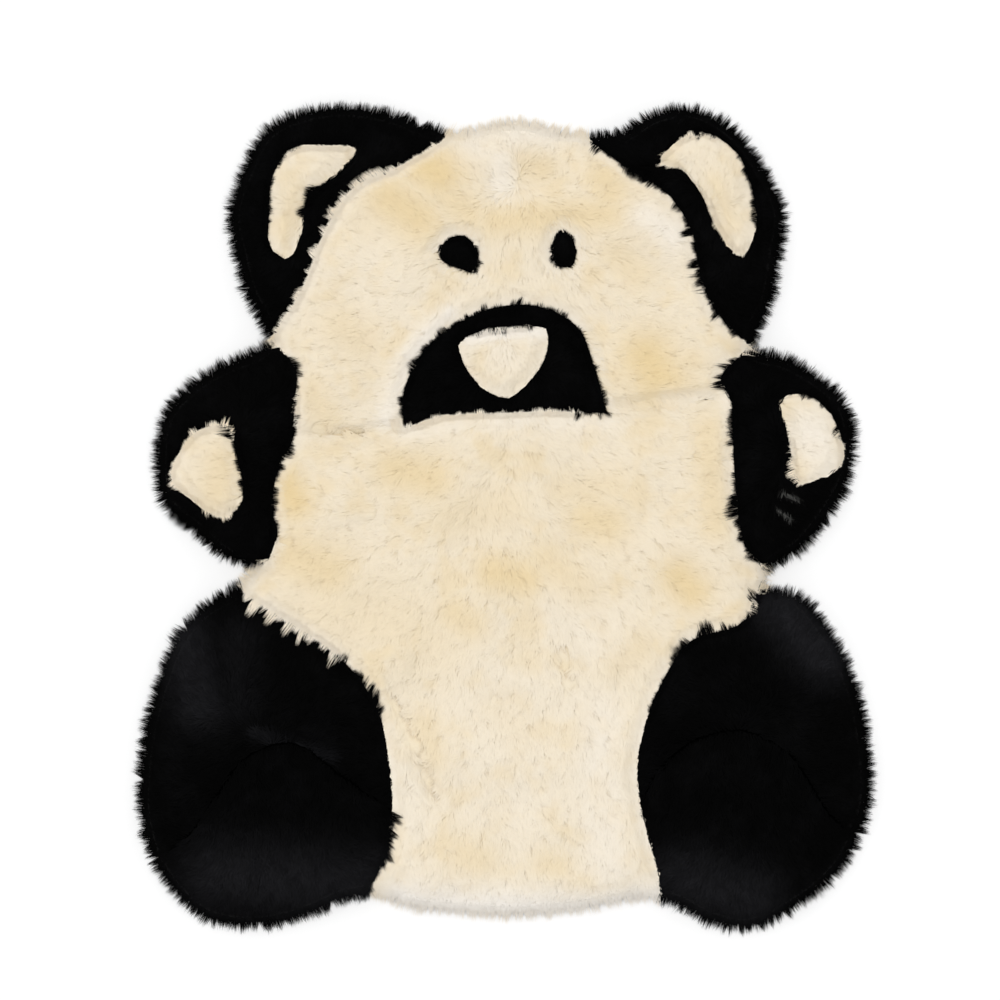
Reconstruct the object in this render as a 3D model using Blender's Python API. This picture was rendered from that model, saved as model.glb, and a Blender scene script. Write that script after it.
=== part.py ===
"""A bear shaped rug for a child's room, pieced from eighteen panels of long-wool sheepskin.

The panels are sewn edge to edge and lie flat, wool up. The head, the body, the nose and the insides of the
ears and paws are cream, and the rest is black. Each panel is one solid, from the back of its hide on the
floor to the top of its wool, and locks of wool fringe the rug's free edges.

Metres, +Z up. The origin is on the floor under the middle of the rug, and +Y points at the crown.
"""
import math
import random

import bmesh
import bpy
import numpy as np
from mathutils import Vector, geometry, noise

MM = 0.001
RUG = "bear_shaped_kids_rug"

# Wool, in millimetres from the floor
PILE = 38.0
LUMP_HEIGHT = 6.5
LUMP_LENGTH = 58.0
RIM_HEIGHT = 11.0
RIM_ROUNDING = 32.0
LOWEST_WOOL = 10.0

# Seams: the gap between two panels, and the parting of the wool over it
SEAM_GAP = 0.3
PARTING_DEPTH = 8.0
PARTING_REACH = 15.0
PARTING_SHARPNESS = 1.5

# Fringe: the hide is cut this far inside the wool's outline, and the locks fill the rest
OVERHANG = 9.0
OVERHANG_TAPER = 30.0
LOCK_REACH = (5.5, 11.0)
LOCK_LEAN = 3.0
LOCK_TIP_WIDTH = 0.22
LOCK_TIP_HEIGHT = 1.6
LOCK_SEED = 7

# How finely the outlines and the wool's surface are stepped: points along the outlines, rings of points
# that follow them inside, and rows of points over the rest
EDGE_STEP = 12.5
RING_DEPTHS = (5.0, 15.0)
RING_CLEARANCE = 0.85
RING_SPACING = 8.4
SURFACE_PITCH = 19.0
SURFACE_INSET = 25.0
SHARP_ANGLE = 50.0

# Wool colours as linear red, green and blue, and roughness
WOOLS = {
    "cream": ((0.86, 0.75, 0.54), 0.85),
    "black": ((0.010, 0.010, 0.011), 0.7),
}

# Where edges meet, in millimetres
JOINS = {
    # name: (x, y)
    "crown_left": (-63, 411),
    "crown_right": (89, 409),
    "cheek_left": (-250, 197),
    "cheek_right": (262, 186),
    "shoulder_left": (-247, 187),
    "shoulder_right": (256, 177),
    "neck_left": (-229, 87),
    "neck_right": (242, 129),
    "mouth_left": (-110, 96),
    "mouth_right": (109, 113),
    "armpit_left": (-257, -47),
    "armpit_right": (276, -53),
    "hip_left": (-284, -81),
    "hip_right": (272, -81),
    "instep_left": (-122, -319),
    "instep_right": (146, -312),
    "outstep_left": (-385, -373),
    "outstep_right": (386, -347),
    "heel_left": (-148, -402),
    "heel_right": (168, -407),
}

# The rug's free edges, clockwise from the crown, each a smooth line through joins and (x, y) points
FREE_EDGES = {
    "crown": ("crown_left", (-30, 424), (10, 432), (51, 424), "crown_right"),
    "ear_right_rim": (
        "crown_right", (126, 420), (156, 439), (200, 447), (249, 423), (283, 379), (304, 333),
        (299, 281), (289, 230), "cheek_right",
    ),
    "cheek_right_edge": ("cheek_right", "shoulder_right"),
    "arm_right_rim": (
        "shoulder_right", (292, 178), (341, 154), (373, 122), (381, 79), (373, 37), (349, -5),
        (314, -42), "armpit_right",
    ),
    "waist_right": ("armpit_right", (282, -67), "hip_right"),
    "leg_right_rim": (
        "hip_right", (314, -81), (355, -124), (384, -187), (396, -252), (397, -310), "outstep_right",
        (368, -380), (319, -423), (259, -449), (211, -437), "heel_right",
    ),
    "hem": ("heel_right", (124, -419), (75, -428), (10, -434), (-60, -430), (-114, -422), "heel_left"),
    "leg_left_rim": (
        "heel_left", (-199, -428), (-266, -446), (-327, -437), (-368, -400), "outstep_left",
        (-398, -328), (-398, -263), (-382, -187), (-353, -120), (-315, -86), "hip_left",
    ),
    "waist_left": ("hip_left", (-279, -63), "armpit_left"),
    "arm_left_rim": (
        "armpit_left", (-277, -51), (-303, -47), (-335, -21), (-374, 16), (-381, 62), (-374, 110),
        (-335, 152), (-288, 176), "shoulder_left",
    ),
    "cheek_left_edge": ("shoulder_left", "cheek_left"),
    "ear_left_rim": (
        "cheek_left", (-277, 229), (-294, 281), (-302, 329), (-286, 379), (-262, 422), (-211, 445),
        (-152, 447), (-103, 434), "crown_left",
    ),
}

# Seams that run from one join to another
SEAMS = {
    "ear_left_seam": (
        "crown_left", (-109, 382), (-162, 357), (-197, 305), (-220, 246), "cheek_left",
    ),
    "ear_right_seam": (
        "crown_right", (129, 379), (178, 346), (202, 306), (210, 263), (227, 223), "cheek_right",
    ),
    "arm_left_seam": (
        "shoulder_left", (-226, 158), (-228, 122), "neck_left", (-246, 51), (-252, 14), (-247, -22),
        "armpit_left",
    ),
    "arm_right_seam": (
        "shoulder_right", (232, 149), "neck_right", (245, 95), (247, 51), (251, 8), (259, -30),
        "armpit_right",
    ),
    "leg_left_seam": (
        "hip_left", (-233, -113), (-179, -151), (-141, -201), (-126, -257), "instep_left",
        (-127, -360), "heel_left",
    ),
    "leg_right_seam": (
        "hip_right", (259, -110), (200, -133), (172, -171), (151, -221), (141, -276), "instep_right",
        (162, -376), "heel_right",
    ),
    "sole_left_arch": (
        "outstep_left", (-347, -349), (-314, -304), (-279, -257), (-233, -243), (-181, -276),
        "instep_left",
    ),
    "sole_right_arch": (
        "instep_right", (162, -279), (200, -243), (254, -230), (292, -243), (324, -279), (351, -322),
        "outstep_right",
    ),
    "neck_left_seam": ("neck_left", (-174, 86), "mouth_left"),
    "neck_right_seam": ("mouth_right", (173, 124), "neck_right"),
    "muzzle_base": ("mouth_left", (-71, 109), (-6, 113), (48, 115), "mouth_right"),
    "muzzle_arch": (
        "mouth_left", (-109, 138), (-87, 181), (-49, 212), (-6, 228), (37, 228), (79, 205),
        (94, 168), "mouth_right",
    ),
}

# Closed seams round the panels that are let into others
INLAYS = {
    "ear_left_inner": (
        (-161, 398), (-195, 401), (-233, 397), (-251, 370), (-255, 328), (-251, 288), (-238, 279),
        (-219, 314), (-213, 348), (-184, 368),
    ),
    "ear_right_inner": (
        (167, 383), (184, 405), (215, 416), (249, 395), (267, 354), (267, 301), (256, 282),
        (230, 309), (211, 350), (189, 376),
    ),
    "arm_left_pad": (
        (-295, 97), (-331, 94), (-355, 66), (-362, 44), (-340, 20), (-303, 1), (-288, 10),
        (-285, 46), (-292, 75),
    ),
    "arm_right_pad": (
        (294, 125), (316, 134), (343, 121), (362, 90), (364, 56), (343, 44), (316, 36), (309, 68),
        (302, 100),
    ),
    "nose": (
        (-51, 186), (-30, 200), (7, 206), (44, 203), (42, 171), (23, 145), (3, 129), (-28, 143),
        (-46, 168),
    ),
    "eye_left": ((-73, 290), (-62, 302), (-43, 304), (-30, 288), (-30, 264), (-49, 269), (-69, 278)),
    "eye_right": ((62, 312), (74, 303), (76, 288), (70, 270), (55, 272), (48, 288), (53, 305)),
}

# Panels that reach a free edge: from each join, along the edge or seam, to the join of the next row
OUTLINES = {
    "head": (
        # join, edge
        ("crown_left", "crown"),
        ("crown_right", "ear_right_seam"),
        ("cheek_right", "cheek_right_edge"),
        ("shoulder_right", "arm_right_seam"),
        ("neck_right", "neck_right_seam"),
        ("mouth_right", "muzzle_arch"),
        ("mouth_left", "neck_left_seam"),
        ("neck_left", "arm_left_seam"),
        ("shoulder_left", "cheek_left_edge"),
        ("cheek_left", "ear_left_seam"),
    ),
    "body": (
        ("neck_left", "neck_left_seam"),
        ("mouth_left", "muzzle_base"),
        ("mouth_right", "neck_right_seam"),
        ("neck_right", "arm_right_seam"),
        ("armpit_right", "waist_right"),
        ("hip_right", "leg_right_seam"),
        ("heel_right", "hem"),
        ("heel_left", "leg_left_seam"),
        ("hip_left", "waist_left"),
        ("armpit_left", "arm_left_seam"),
    ),
    "muzzle": (("mouth_left", "muzzle_arch"), ("mouth_right", "muzzle_base")),
    "ear_left": (("crown_left", "ear_left_seam"), ("cheek_left", "ear_left_rim")),
    "ear_right": (("crown_right", "ear_right_rim"), ("cheek_right", "ear_right_seam")),
    "arm_left": (("shoulder_left", "arm_left_seam"), ("armpit_left", "arm_left_rim")),
    "arm_right": (("shoulder_right", "arm_right_rim"), ("armpit_right", "arm_right_seam")),
    "leg_left": (
        ("hip_left", "leg_left_seam"),
        ("instep_left", "sole_left_arch"),
        ("outstep_left", "leg_left_rim"),
    ),
    "leg_left_sole": (
        ("outstep_left", "sole_left_arch"),
        ("instep_left", "leg_left_seam"),
        ("heel_left", "leg_left_rim"),
    ),
    "leg_right": (
        ("hip_right", "leg_right_rim"),
        ("outstep_right", "sole_right_arch"),
        ("instep_right", "leg_right_seam"),
    ),
    "leg_right_sole": (
        ("instep_right", "sole_right_arch"),
        ("outstep_right", "leg_right_rim"),
        ("heel_right", "leg_right_seam"),
    ),
}

# Each panel's wool, and the panels that are let into it
PANELS = {
    # name: (wool, inlays)
    "head": ("cream", ("eye_left", "eye_right")),
    "body": ("cream", ()),
    "muzzle": ("black", ("nose",)),
    "nose": ("cream", ()),
    "eye_left": ("black", ()),
    "eye_right": ("black", ()),
    "ear_left": ("black", ("ear_left_inner",)),
    "ear_left_inner": ("cream", ()),
    "ear_right": ("black", ("ear_right_inner",)),
    "ear_right_inner": ("cream", ()),
    "arm_left": ("black", ("arm_left_pad",)),
    "arm_left_pad": ("cream", ()),
    "arm_right": ("black", ("arm_right_pad",)),
    "arm_right_pad": ("cream", ()),
    "leg_left": ("black", ()),
    "leg_left_sole": ("black", ()),
    "leg_right": ("black", ()),
    "leg_right_sole": ("black", ()),
}

# Creases pressed into the wool, from one end to the other
CREASES = (
    # x0, y0, x1, y1, reach, depth
    (-120, -187, -76, -295, 16, 5.0),
    (59, -133, 81, -165, 14, 3.5),
    (-190, -5, -145, -20, 14, 3.5),
    (2, 358, 24, 368, 34, 6.0),
)


def ease(share):
    """0 to 1 with a soft start and end."""
    share = np.clip(share, 0, 1)
    return share * share * (3 - 2 * share)


def smooth_line(places, closed=False):
    """Points about EDGE_STEP apart on a smooth line through the given places, and each place's index."""
    knots = np.array(places, float)
    ahead = np.roll(knots, -1, axis=0) - knots
    length = np.linalg.norm(ahead, axis=1)[:, None]
    heading = ahead / length
    heading_before = np.roll(heading, 1, axis=0)
    length_before = np.roll(length, 1, axis=0)
    tangent = heading * length_before + heading_before * length
    tangent /= length + length_before
    if not closed:
        tangent[0] = heading[0]
        tangent[-1] = heading[-2]
    points = []
    found = []
    for i in range(len(knots) if closed else len(knots) - 1):
        j = (i + 1) % len(knots)
        found.append(len(points))
        for t in np.linspace(0, 1, max(1, round(length[i, 0] / EDGE_STEP)), endpoint=False):
            bow = tangent[i] * t * (1 - t) ** 2 - tangent[j] * t * t * (1 - t)
            points.append(knots[i] + (knots[j] - knots[i]) * ease(t) + bow * length[i])
    if not closed:
        found.append(len(points))
        points.append(knots[-1])
    return np.array(points), found


def left_normals(points, closed=False):
    """The unit vector to the left of the line at each point."""
    if closed:
        along = np.roll(points, -1, axis=0) - np.roll(points, 1, axis=0)
    else:
        along = np.gradient(points, axis=0)
    along /= np.linalg.norm(along, axis=1)[:, None]
    return np.stack([-along[:, 1], along[:, 0]], axis=1)


def cut_back(line):
    """A free edge drawn in from the wool's outline to the hide, and where it is far enough in for locks."""
    steps = np.linalg.norm(np.diff(line, axis=0), axis=1)
    run = np.concatenate([[0], np.cumsum(steps)])
    from_end = np.minimum(run, run[-1] - run)
    moved = line - left_normals(line) * (OVERHANG * ease(from_end / OVERHANG_TAPER))[:, None]
    return moved, from_end >= OVERHANG_TAPER


def lay_out_edges():
    """Every edge's points, the index of each join on it, whether it is free and where it carries locks."""
    joins = {name: np.array(place, float) for name, place in JOINS.items()}
    edges = {}
    for name, stops in (FREE_EDGES | SEAMS).items():
        line, found = smooth_line([joins[s] if isinstance(s, str) else s for s in stops])
        locks = np.zeros(len(line), bool)
        if name in FREE_EDGES:
            line, locks = cut_back(line)
        at = {stop: index for stop, index in zip(stops, found) if isinstance(stop, str)}
        for join, index in at.items():
            joins[join] = line[index]
        edges[name] = {"line": line, "at": at, "free": name in FREE_EDGES, "locks": locks}
    return edges


def walk(route, edges):
    """A panel's outline: its points, whether each step to the next is free, and which points carry locks."""
    points = []
    free = []
    locks = []
    for (start, name), (end, _) in zip(route, route[1:] + route[:1]):
        edge = edges[name]
        first, last = edge["at"][start], edge["at"][end]
        for i in range(first, last, 1 if last > first else -1):
            points.append(edge["line"][i])
            free.append(edge["free"])
            locks.append(bool(edge["locks"][i]) and i != first)
    return np.array(points), np.array(free), np.array(locks)


def signed_area(points):
    x, y = points.T
    return 0.5 * float(np.sum(x * np.roll(y, -1) - y * np.roll(x, -1)))


def anticlockwise(points, free, locks):
    if signed_area(points) > 0:
        return points, free, locks
    return points[::-1], np.roll(free[::-1], -1), locks[::-1]


def clear_of_seams(points, free):
    """The loop moved to its left, off its seams, by half the gap."""
    along = np.roll(points, -1, axis=0) - points
    along /= np.linalg.norm(along, axis=1)[:, None]
    normal = np.stack([-along[:, 1], along[:, 0]], axis=1)
    move = np.where(free, 0.0, SEAM_GAP / 2)
    moved = np.empty_like(points)
    for i in range(len(points)):
        sides = np.array([normal[i - 1], normal[i]])
        moves = np.array([move[i - 1], move[i]])
        if abs(np.linalg.det(sides)) > 0.2:
            moved[i] = points[i] + np.linalg.solve(sides, moves)
        else:
            moved[i] = points[i] + sides.mean(axis=0) * moves.max()
    return moved


def inlay_loop(name):
    return smooth_line(INLAYS[name], closed=True)[0]


def panel_loops(name, edges):
    """A panel's outline and the holes for its inlays, with the panel on their left, and where locks grow."""
    if name in OUTLINES:
        points, free, locks = anticlockwise(*walk(OUTLINES[name], edges))
    else:
        sewn = np.zeros(len(inlay_loop(name)), bool)
        points, free, locks = anticlockwise(inlay_loop(name), sewn, sewn)
    loops = [clear_of_seams(points, free)]
    for inlay in PANELS[name][1]:
        hole = inlay_loop(inlay)
        if signed_area(hole) > 0:
            hole = hole[::-1]
        loops.append(clear_of_seams(hole, np.zeros(len(hole), bool)))
    return loops, locks


def open_segments(line):
    return np.hstack([line[:-1], line[1:]])


def loop_segments(loops):
    return np.concatenate([np.hstack([loop, np.roll(loop, -1, axis=0)]) for loop in loops])


def distance(points, lines):
    """Each point's distance to the nearest of the line segments."""
    nearest = np.full(len(points), np.inf)
    for x0, y0, x1, y1 in lines:
        start = np.array([x0, y0])
        along = np.array([x1, y1]) - start
        share = np.clip((points - start) @ along / (along @ along), 0, 1)
        away = points - start - share[:, None] * along
        nearest = np.minimum(nearest, np.hypot(away[:, 0], away[:, 1]))
    return nearest


def inside(points, lines):
    """Whether each point is inside the closed loops that the segments make."""
    crossings = np.zeros(len(points), int)
    x, y = points.T
    for x0, y0, x1, y1 in lines:
        if y0 != y1:
            spans = (y0 > y) != (y1 > y)
            crossings += spans & (x < x0 + (x1 - x0) * (y - y0) / (y1 - y0))
    return crossings % 2 == 1


class WoolSurface:
    """The height of the wool over the whole rug, the same for the panels on both sides of a seam."""

    def __init__(self, edges):
        free = [open_segments(edge["line"]) for edge in edges.values() if edge["free"]]
        sewn = [open_segments(edge["line"]) for edge in edges.values() if not edge["free"]]
        self.free = np.concatenate(free)
        self.seams = np.concatenate([*sewn, loop_segments([inlay_loop(name) for name in INLAYS])])

    def height(self, points):
        lumps = np.array([noise.noise(Vector((x, y, 0)) / LUMP_LENGTH) for x, y in points])
        height = PILE + LUMP_HEIGHT * lumps
        parting = np.clip(1 - distance(points, self.seams) / PARTING_REACH, 0, 1)
        height -= PARTING_DEPTH * parting**PARTING_SHARPNESS
        for *line, reach, depth in CREASES:
            height -= depth * ease(1 - distance(points, [line]) / reach)
        rounding = np.clip(1 - distance(points, self.free) / RIM_ROUNDING, 0, 1)
        height = RIM_HEIGHT + (height - RIM_HEIGHT) * np.sqrt(1 - rounding**2)
        return np.maximum(height, LOWEST_WOOL)


def ring_points(loops):
    """Points in rings that follow a panel's edges, a little inside them."""
    lines = loop_segments(loops)
    kept = np.empty((0, 2))
    for depth in RING_DEPTHS:
        for loop in loops:
            ring = loop + left_normals(loop, closed=True) * depth
            clear = inside(ring, lines) & (distance(ring, lines) > RING_CLEARANCE * depth)
            for point in ring[clear]:
                if not len(kept) or np.hypot(*(kept - point).T).min() > RING_SPACING:
                    kept = np.vstack([kept, point])
    return kept


def row_points(loops):
    """Points in staggered rows over the middle of a panel."""
    lines = loop_segments(loops)
    low = loops[0].min(axis=0)
    high = loops[0].max(axis=0)
    rows = []
    for row, y in enumerate(np.arange(low[1], high[1], SURFACE_PITCH * math.sqrt(3) / 2)):
        across = np.arange(low[0] + (row % 2) * SURFACE_PITCH / 2, high[0], SURFACE_PITCH)
        rows.append(np.stack([across, np.full(len(across), y)], axis=1))
    points = np.concatenate(rows)
    return points[inside(points, lines) & (distance(points, lines) > SURFACE_INSET)]


def lay_wool(bm, loops, locks, surface):
    """Fills a panel's outline with the top of its wool, and marks the corners where locks grow."""
    points = np.concatenate([*loops, ring_points(loops), row_points(loops)])
    edges = []
    start = 0
    for loop in loops:
        edges += [(start + i, start + (i + 1) % len(loop)) for i in range(len(loop))]
        start += len(loop)
    flat = [Vector(point) for point in points]
    places, _, triangles, sources, _, _ = geometry.delaunay_2d_cdt(flat, edges, [], 0, 0.001)
    places = np.array([tuple(place) for place in places])
    mark = bm.verts.layers.int.new("locks")
    corners = []
    for (x, y), z, source in zip(places, surface.height(places), sources):
        corner = bm.verts.new((x * MM, y * MM, z * MM))
        corner[mark] = int(any(i < len(locks) and locks[i] for i in source))
        corners.append(corner)
    middles = np.array([places[list(triangle)].mean(axis=0) for triangle in triangles])
    for triangle, wanted in zip(triangles, inside(middles, loop_segments(loops))):
        if wanted:
            bm.faces.new([corners[i] for i in triangle])


def stand_on_floor(bm):
    """Closes the wool down to a flat hide on the floor."""
    lower = bmesh.ops.extrude_face_region(bm, geom=bm.faces[:])["geom"]
    for item in lower:
        if isinstance(item, bmesh.types.BMVert):
            item.co.z = 0.0
    bm.normal_update()
    on_floor = [v for v in bm.verts if v.co.z == 0.0]
    level = [e for e in bm.edges if all(v.co.z == 0.0 for v in e.verts)]
    bmesh.ops.dissolve_limit(bm, angle_limit=math.radians(1), edges=level, verts=on_floor)
    bmesh.ops.recalc_face_normals(bm, faces=bm.faces[:])


def draw_out_locks(bm, rng):
    """Draws each marked face of the rim out into a lock that tapers and lies on the floor."""
    mark = bm.verts.layers.int["locks"]
    rim = [
        f
        for f in bm.faces
        if len(f.verts) == 4 and abs(f.normal.z) < 0.1 and all(v[mark] for v in f.verts)
    ]
    rim.sort(key=lambda f: tuple(f.calc_center_median()))
    for face in bmesh.ops.extrude_discrete_faces(bm, faces=rim)["faces"]:
        middle = face.calc_center_median()
        outward = Vector((face.normal.x, face.normal.y, 0)).normalized()
        along = Vector((-outward.y, outward.x, 0))
        reach = rng.uniform(*LOCK_REACH) * MM
        lean = rng.uniform(-LOCK_LEAN, LOCK_LEAN) * MM
        for corner in face.verts:
            sideways = (corner.co - middle).dot(along) * LOCK_TIP_WIDTH
            top = corner.co.z > middle.z
            corner.co = middle + outward * reach + along * (lean + sideways)
            corner.co.z = LOCK_TIP_HEIGHT * MM if top else 0.0


def wool_material(name, wool):
    colour, roughness = WOOLS[wool]
    material = bpy.data.materials.new(f"{name}_{wool}_wool")
    material.use_nodes = True
    shader = material.node_tree.nodes["Principled BSDF"]
    shader.inputs["Base Color"].default_value = (*colour, 1.0)
    shader.inputs["Roughness"].default_value = roughness
    shader.inputs["Metallic"].default_value = 0.0
    material.diffuse_color = (*colour, 1.0)
    return material


def make_panel(name, edges, surface, collection):
    loops, locks = panel_loops(name, edges)
    bm = bmesh.new()
    lay_wool(bm, loops, locks, surface)
    stand_on_floor(bm)
    draw_out_locks(bm, random.Random(f"{name} {LOCK_SEED}"))
    bmesh.ops.triangulate(bm, faces=bm.faces[:])
    bmesh.ops.recalc_face_normals(bm, faces=bm.faces[:])
    mesh = bpy.data.meshes.new(name)
    bm.to_mesh(mesh)
    bm.free()
    mesh.shade_smooth()
    mesh.set_sharp_from_angle(angle=math.radians(SHARP_ANGLE))
    mesh.materials.append(wool_material(name, PANELS[name][0]))
    collection.objects.link(bpy.data.objects.new(name, mesh))


def make_rug():
    for old in list(bpy.data.objects):
        bpy.data.objects.remove(old, do_unlink=True)
    collection = bpy.data.collections.new(RUG)
    bpy.context.scene.collection.children.link(collection)
    edges = lay_out_edges()
    surface = WoolSurface(edges)
    for name in PANELS:
        make_panel(name, edges, surface, collection)


make_rug()
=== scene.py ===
import math
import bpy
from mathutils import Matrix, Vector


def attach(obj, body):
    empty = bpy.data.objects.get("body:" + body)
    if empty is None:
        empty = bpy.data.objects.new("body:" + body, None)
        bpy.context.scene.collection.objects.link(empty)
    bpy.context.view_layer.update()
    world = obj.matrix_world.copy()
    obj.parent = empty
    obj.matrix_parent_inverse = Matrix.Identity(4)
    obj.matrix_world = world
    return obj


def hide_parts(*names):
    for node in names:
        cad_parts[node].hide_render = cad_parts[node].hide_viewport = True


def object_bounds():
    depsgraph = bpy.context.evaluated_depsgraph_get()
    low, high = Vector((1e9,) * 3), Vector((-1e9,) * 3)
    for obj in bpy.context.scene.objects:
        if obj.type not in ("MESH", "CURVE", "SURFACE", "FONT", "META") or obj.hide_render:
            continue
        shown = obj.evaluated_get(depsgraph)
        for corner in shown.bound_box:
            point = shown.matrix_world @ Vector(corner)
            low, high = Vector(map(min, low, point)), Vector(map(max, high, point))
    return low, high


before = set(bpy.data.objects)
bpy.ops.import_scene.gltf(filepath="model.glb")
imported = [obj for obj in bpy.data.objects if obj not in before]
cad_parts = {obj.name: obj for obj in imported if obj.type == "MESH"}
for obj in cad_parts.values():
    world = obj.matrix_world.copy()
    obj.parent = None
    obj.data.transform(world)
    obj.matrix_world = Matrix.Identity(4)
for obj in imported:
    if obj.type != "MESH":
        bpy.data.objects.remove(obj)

from types import SimpleNamespace

import bmesh
import bpy
import numpy as np
from mathutils import Vector, kdtree, noise
from mathutils.bvhtree import BVHTree

cad_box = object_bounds()


# ---- Floor, light and camera -------------------------------------------------------------------------
# The rug lies flat on a plain white floor under soft, even light. The camera looks straight down on it
# from far enough away that its height barely spreads it.
MM = 0.001  # every size below is in millimetres, and is brought to metres where it is used
FRAME_WIDTH = 1083.0
FRAME_MIDDLE = (-6.0, 19.0)
FRAME_LEVEL = 20.0  # about half-way up the wool, where the picture is as wide as that
LENS = 135.0
SENSOR = 36.0
STUDIO_LIGHT = 0.85
LAMP_STRENGTH = 1.0
LAMP_SPREAD = 60
LAMP_TURN = (-18, -16, 0)
FLOOR_SIZE = 20000.0
FLOOR_ROUGHNESS = 0.9
FLOOR_SHINE = 0.1
FLOOR_CLOUDS = 3.0
FLOOR_TONES = (0.94, 0.97)

scene = bpy.context.scene
scene.view_settings.view_transform = "Standard"

lens = bpy.data.cameras.new("camera")
lens.lens = LENS
lens.sensor_width = SENSOR
camera = bpy.data.objects.new("camera", lens)
scene.collection.objects.link(camera)
camera.location = (
    FRAME_MIDDLE[0] * MM,
    FRAME_MIDDLE[1] * MM,
    (FRAME_WIDTH * LENS / SENSOR + FRAME_LEVEL) * MM,
)
scene.camera = camera

world = bpy.data.worlds.new("studio")
world.use_nodes = True
world.node_tree.nodes["Background"].inputs["Color"].default_value = (1.0, 1.0, 1.0, 1.0)
world.node_tree.nodes["Background"].inputs["Strength"].default_value = STUDIO_LIGHT
scene.world = world

lamp = bpy.data.lights.new("soft_light", "SUN")
lamp.energy = LAMP_STRENGTH
lamp.angle = math.radians(LAMP_SPREAD)
sun = bpy.data.objects.new("soft_light", lamp)
sun.rotation_euler = [math.radians(turn) for turn in LAMP_TURN]
scene.collection.objects.link(sun)


def new_material(name, roughness):
    """A new material, with its nodes, links and shader."""
    material = bpy.data.materials.new(name)
    material.use_nodes = True
    nodes, links = material.node_tree.nodes, material.node_tree.links
    shader = nodes["Principled BSDF"]
    shader.inputs["Roughness"].default_value = roughness
    return material, nodes, links, shader


def add_noise(nodes, links, scale, detail=2.0):
    """Soft noise over each object, as a value from 0 to 1."""
    where = nodes.new("ShaderNodeTexCoord")
    pattern = nodes.new("ShaderNodeTexNoise")
    pattern.inputs["Scale"].default_value = scale
    pattern.inputs["Detail"].default_value = detail
    links.new(where.outputs["Object"], pattern.inputs["Vector"])
    return pattern.outputs["Fac"]


def plain_floor_material():
    material, nodes, links, shader = new_material("pale_floor", FLOOR_ROUGHNESS)
    shader.inputs["Specular IOR Level"].default_value = FLOOR_SHINE
    tone = nodes.new("ShaderNodeMapRange")
    tone.inputs["To Min"].default_value, tone.inputs["To Max"].default_value = FLOOR_TONES
    links.new(add_noise(nodes, links, FLOOR_CLOUDS), tone.inputs["Value"])
    links.new(tone.outputs["Result"], shader.inputs["Base Color"])
    return material


half = FLOOR_SIZE / 2 * MM
floor_mesh = bpy.data.meshes.new("floor")
floor_mesh.from_pydata(
    [(-half, -half, 0), (half, -half, 0), (half, half, 0), (-half, half, 0)], [], [(0, 1, 2, 3)]
)
floor_mesh.materials.append(plain_floor_material())
floor = bpy.data.objects.new("floor", floor_mesh)
scene.collection.objects.link(floor)


# ---- Hides -------------------------------------------------------------------------------------------
# Eighteen pieces of tanned sheepskin, each cut with a blade from the flesh side so that the wool on it
# stays whole. The flesh side is buffed to a pale suede, and lies on the floor.
HIDE_THICKNESS = 1.8
HIDE_CLEARANCE = 0.5
LOWEST_WOOL = 9.0
WELD = 0.01
FREE_GAP = 1.5
HEIGHT_STEP = 2.0
HEIGHT_MARGIN = 24.0
RIM_HEIGHT = 11.0
RIM_DROOP = 9.0
RIM_CURVE = 1.5
SPRING_STEPS = 7
SPRING_SINK = 0.7
SUEDE = SimpleNamespace(
    dark=(0.48, 0.37, 0.25), light=(0.62, 0.50, 0.36), roughness=0.95, sheen=0.3,
    cloud_scale=14.0, cloud_detail=6.0, nap_scale=900.0, nap_strength=0.5, nap_depth=0.4,
)
BLACK_PANELS = (
    "muzzle", "eye_left", "eye_right", "ear_left", "ear_right", "arm_left", "arm_right", "leg_left",
    "leg_left_sole", "leg_right", "leg_right_sole",
)


def wool_top(node):
    """The top of a panel's wool as it was packed, without its sides and the locks at its rim."""
    bm = bmesh.new()
    bm.from_mesh(node.data)
    bmesh.ops.remove_doubles(bm, verts=bm.verts[:], dist=WELD * MM)
    low = [f for f in bm.faces if min(v.co.z for v in f.verts) < LOWEST_WOOL * MM]
    bmesh.ops.delete(bm, geom=low, context="FACES")
    bm.normal_update()
    return bm


def outline(bm):
    """The loops round the top of a panel's wool, as points in millimetres with the panel on their left."""
    following = {}
    for edge in bm.edges:
        if edge.is_boundary:
            corner = edge.link_loops[0]
            following[corner.vert] = corner.link_loop_next.vert
    loops = []
    while following:
        vert = next(iter(following))
        points = []
        while vert in following:
            points.append(tuple(vert.co.xy / MM))
            vert = following.pop(vert)
        loops.append(np.array(points))
    return loops


def segments_of(loops):
    """Each side of the loops as x0, y0, x1, y1."""
    return np.concatenate([np.hstack([loop, np.roll(loop, -1, axis=0)]) for loop in loops])


def nearest_side(points, segments):
    """Each point's distance to the nearest segment, the step that leads there, and which one it is."""
    best = np.full(len(points), np.inf)
    step = np.zeros((len(points), 2))
    which = np.zeros(len(points), int)
    for i, (x0, y0, x1, y1) in enumerate(segments):
        start = np.array([x0, y0])
        along = np.array([x1, y1]) - start
        share = np.clip((points - start) @ along / max(along @ along, 1e-9), 0, 1)
        away = start + share[:, None] * along - points
        length = np.hypot(away[:, 0], away[:, 1])
        nearer = length < best
        best[nearer] = length[nearer]
        step[nearer] = away[nearer]
        which[nearer] = i
    return best, step, which


def inside(points, segments):
    """Whether each point is inside the closed loops that the segments make."""
    crossings = np.zeros(len(points), int)
    x, y = points.T
    for x0, y0, x1, y1 in segments:
        if y0 != y1:
            spans = (y0 > y) != (y1 > y)
            crossings += spans & (x < x0 + (x1 - x0) * (y - y0) / (y1 - y0))
    return crossings % 2 == 1


def wool_of(name):
    return "black" if name in BLACK_PANELS else "cream"


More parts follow.
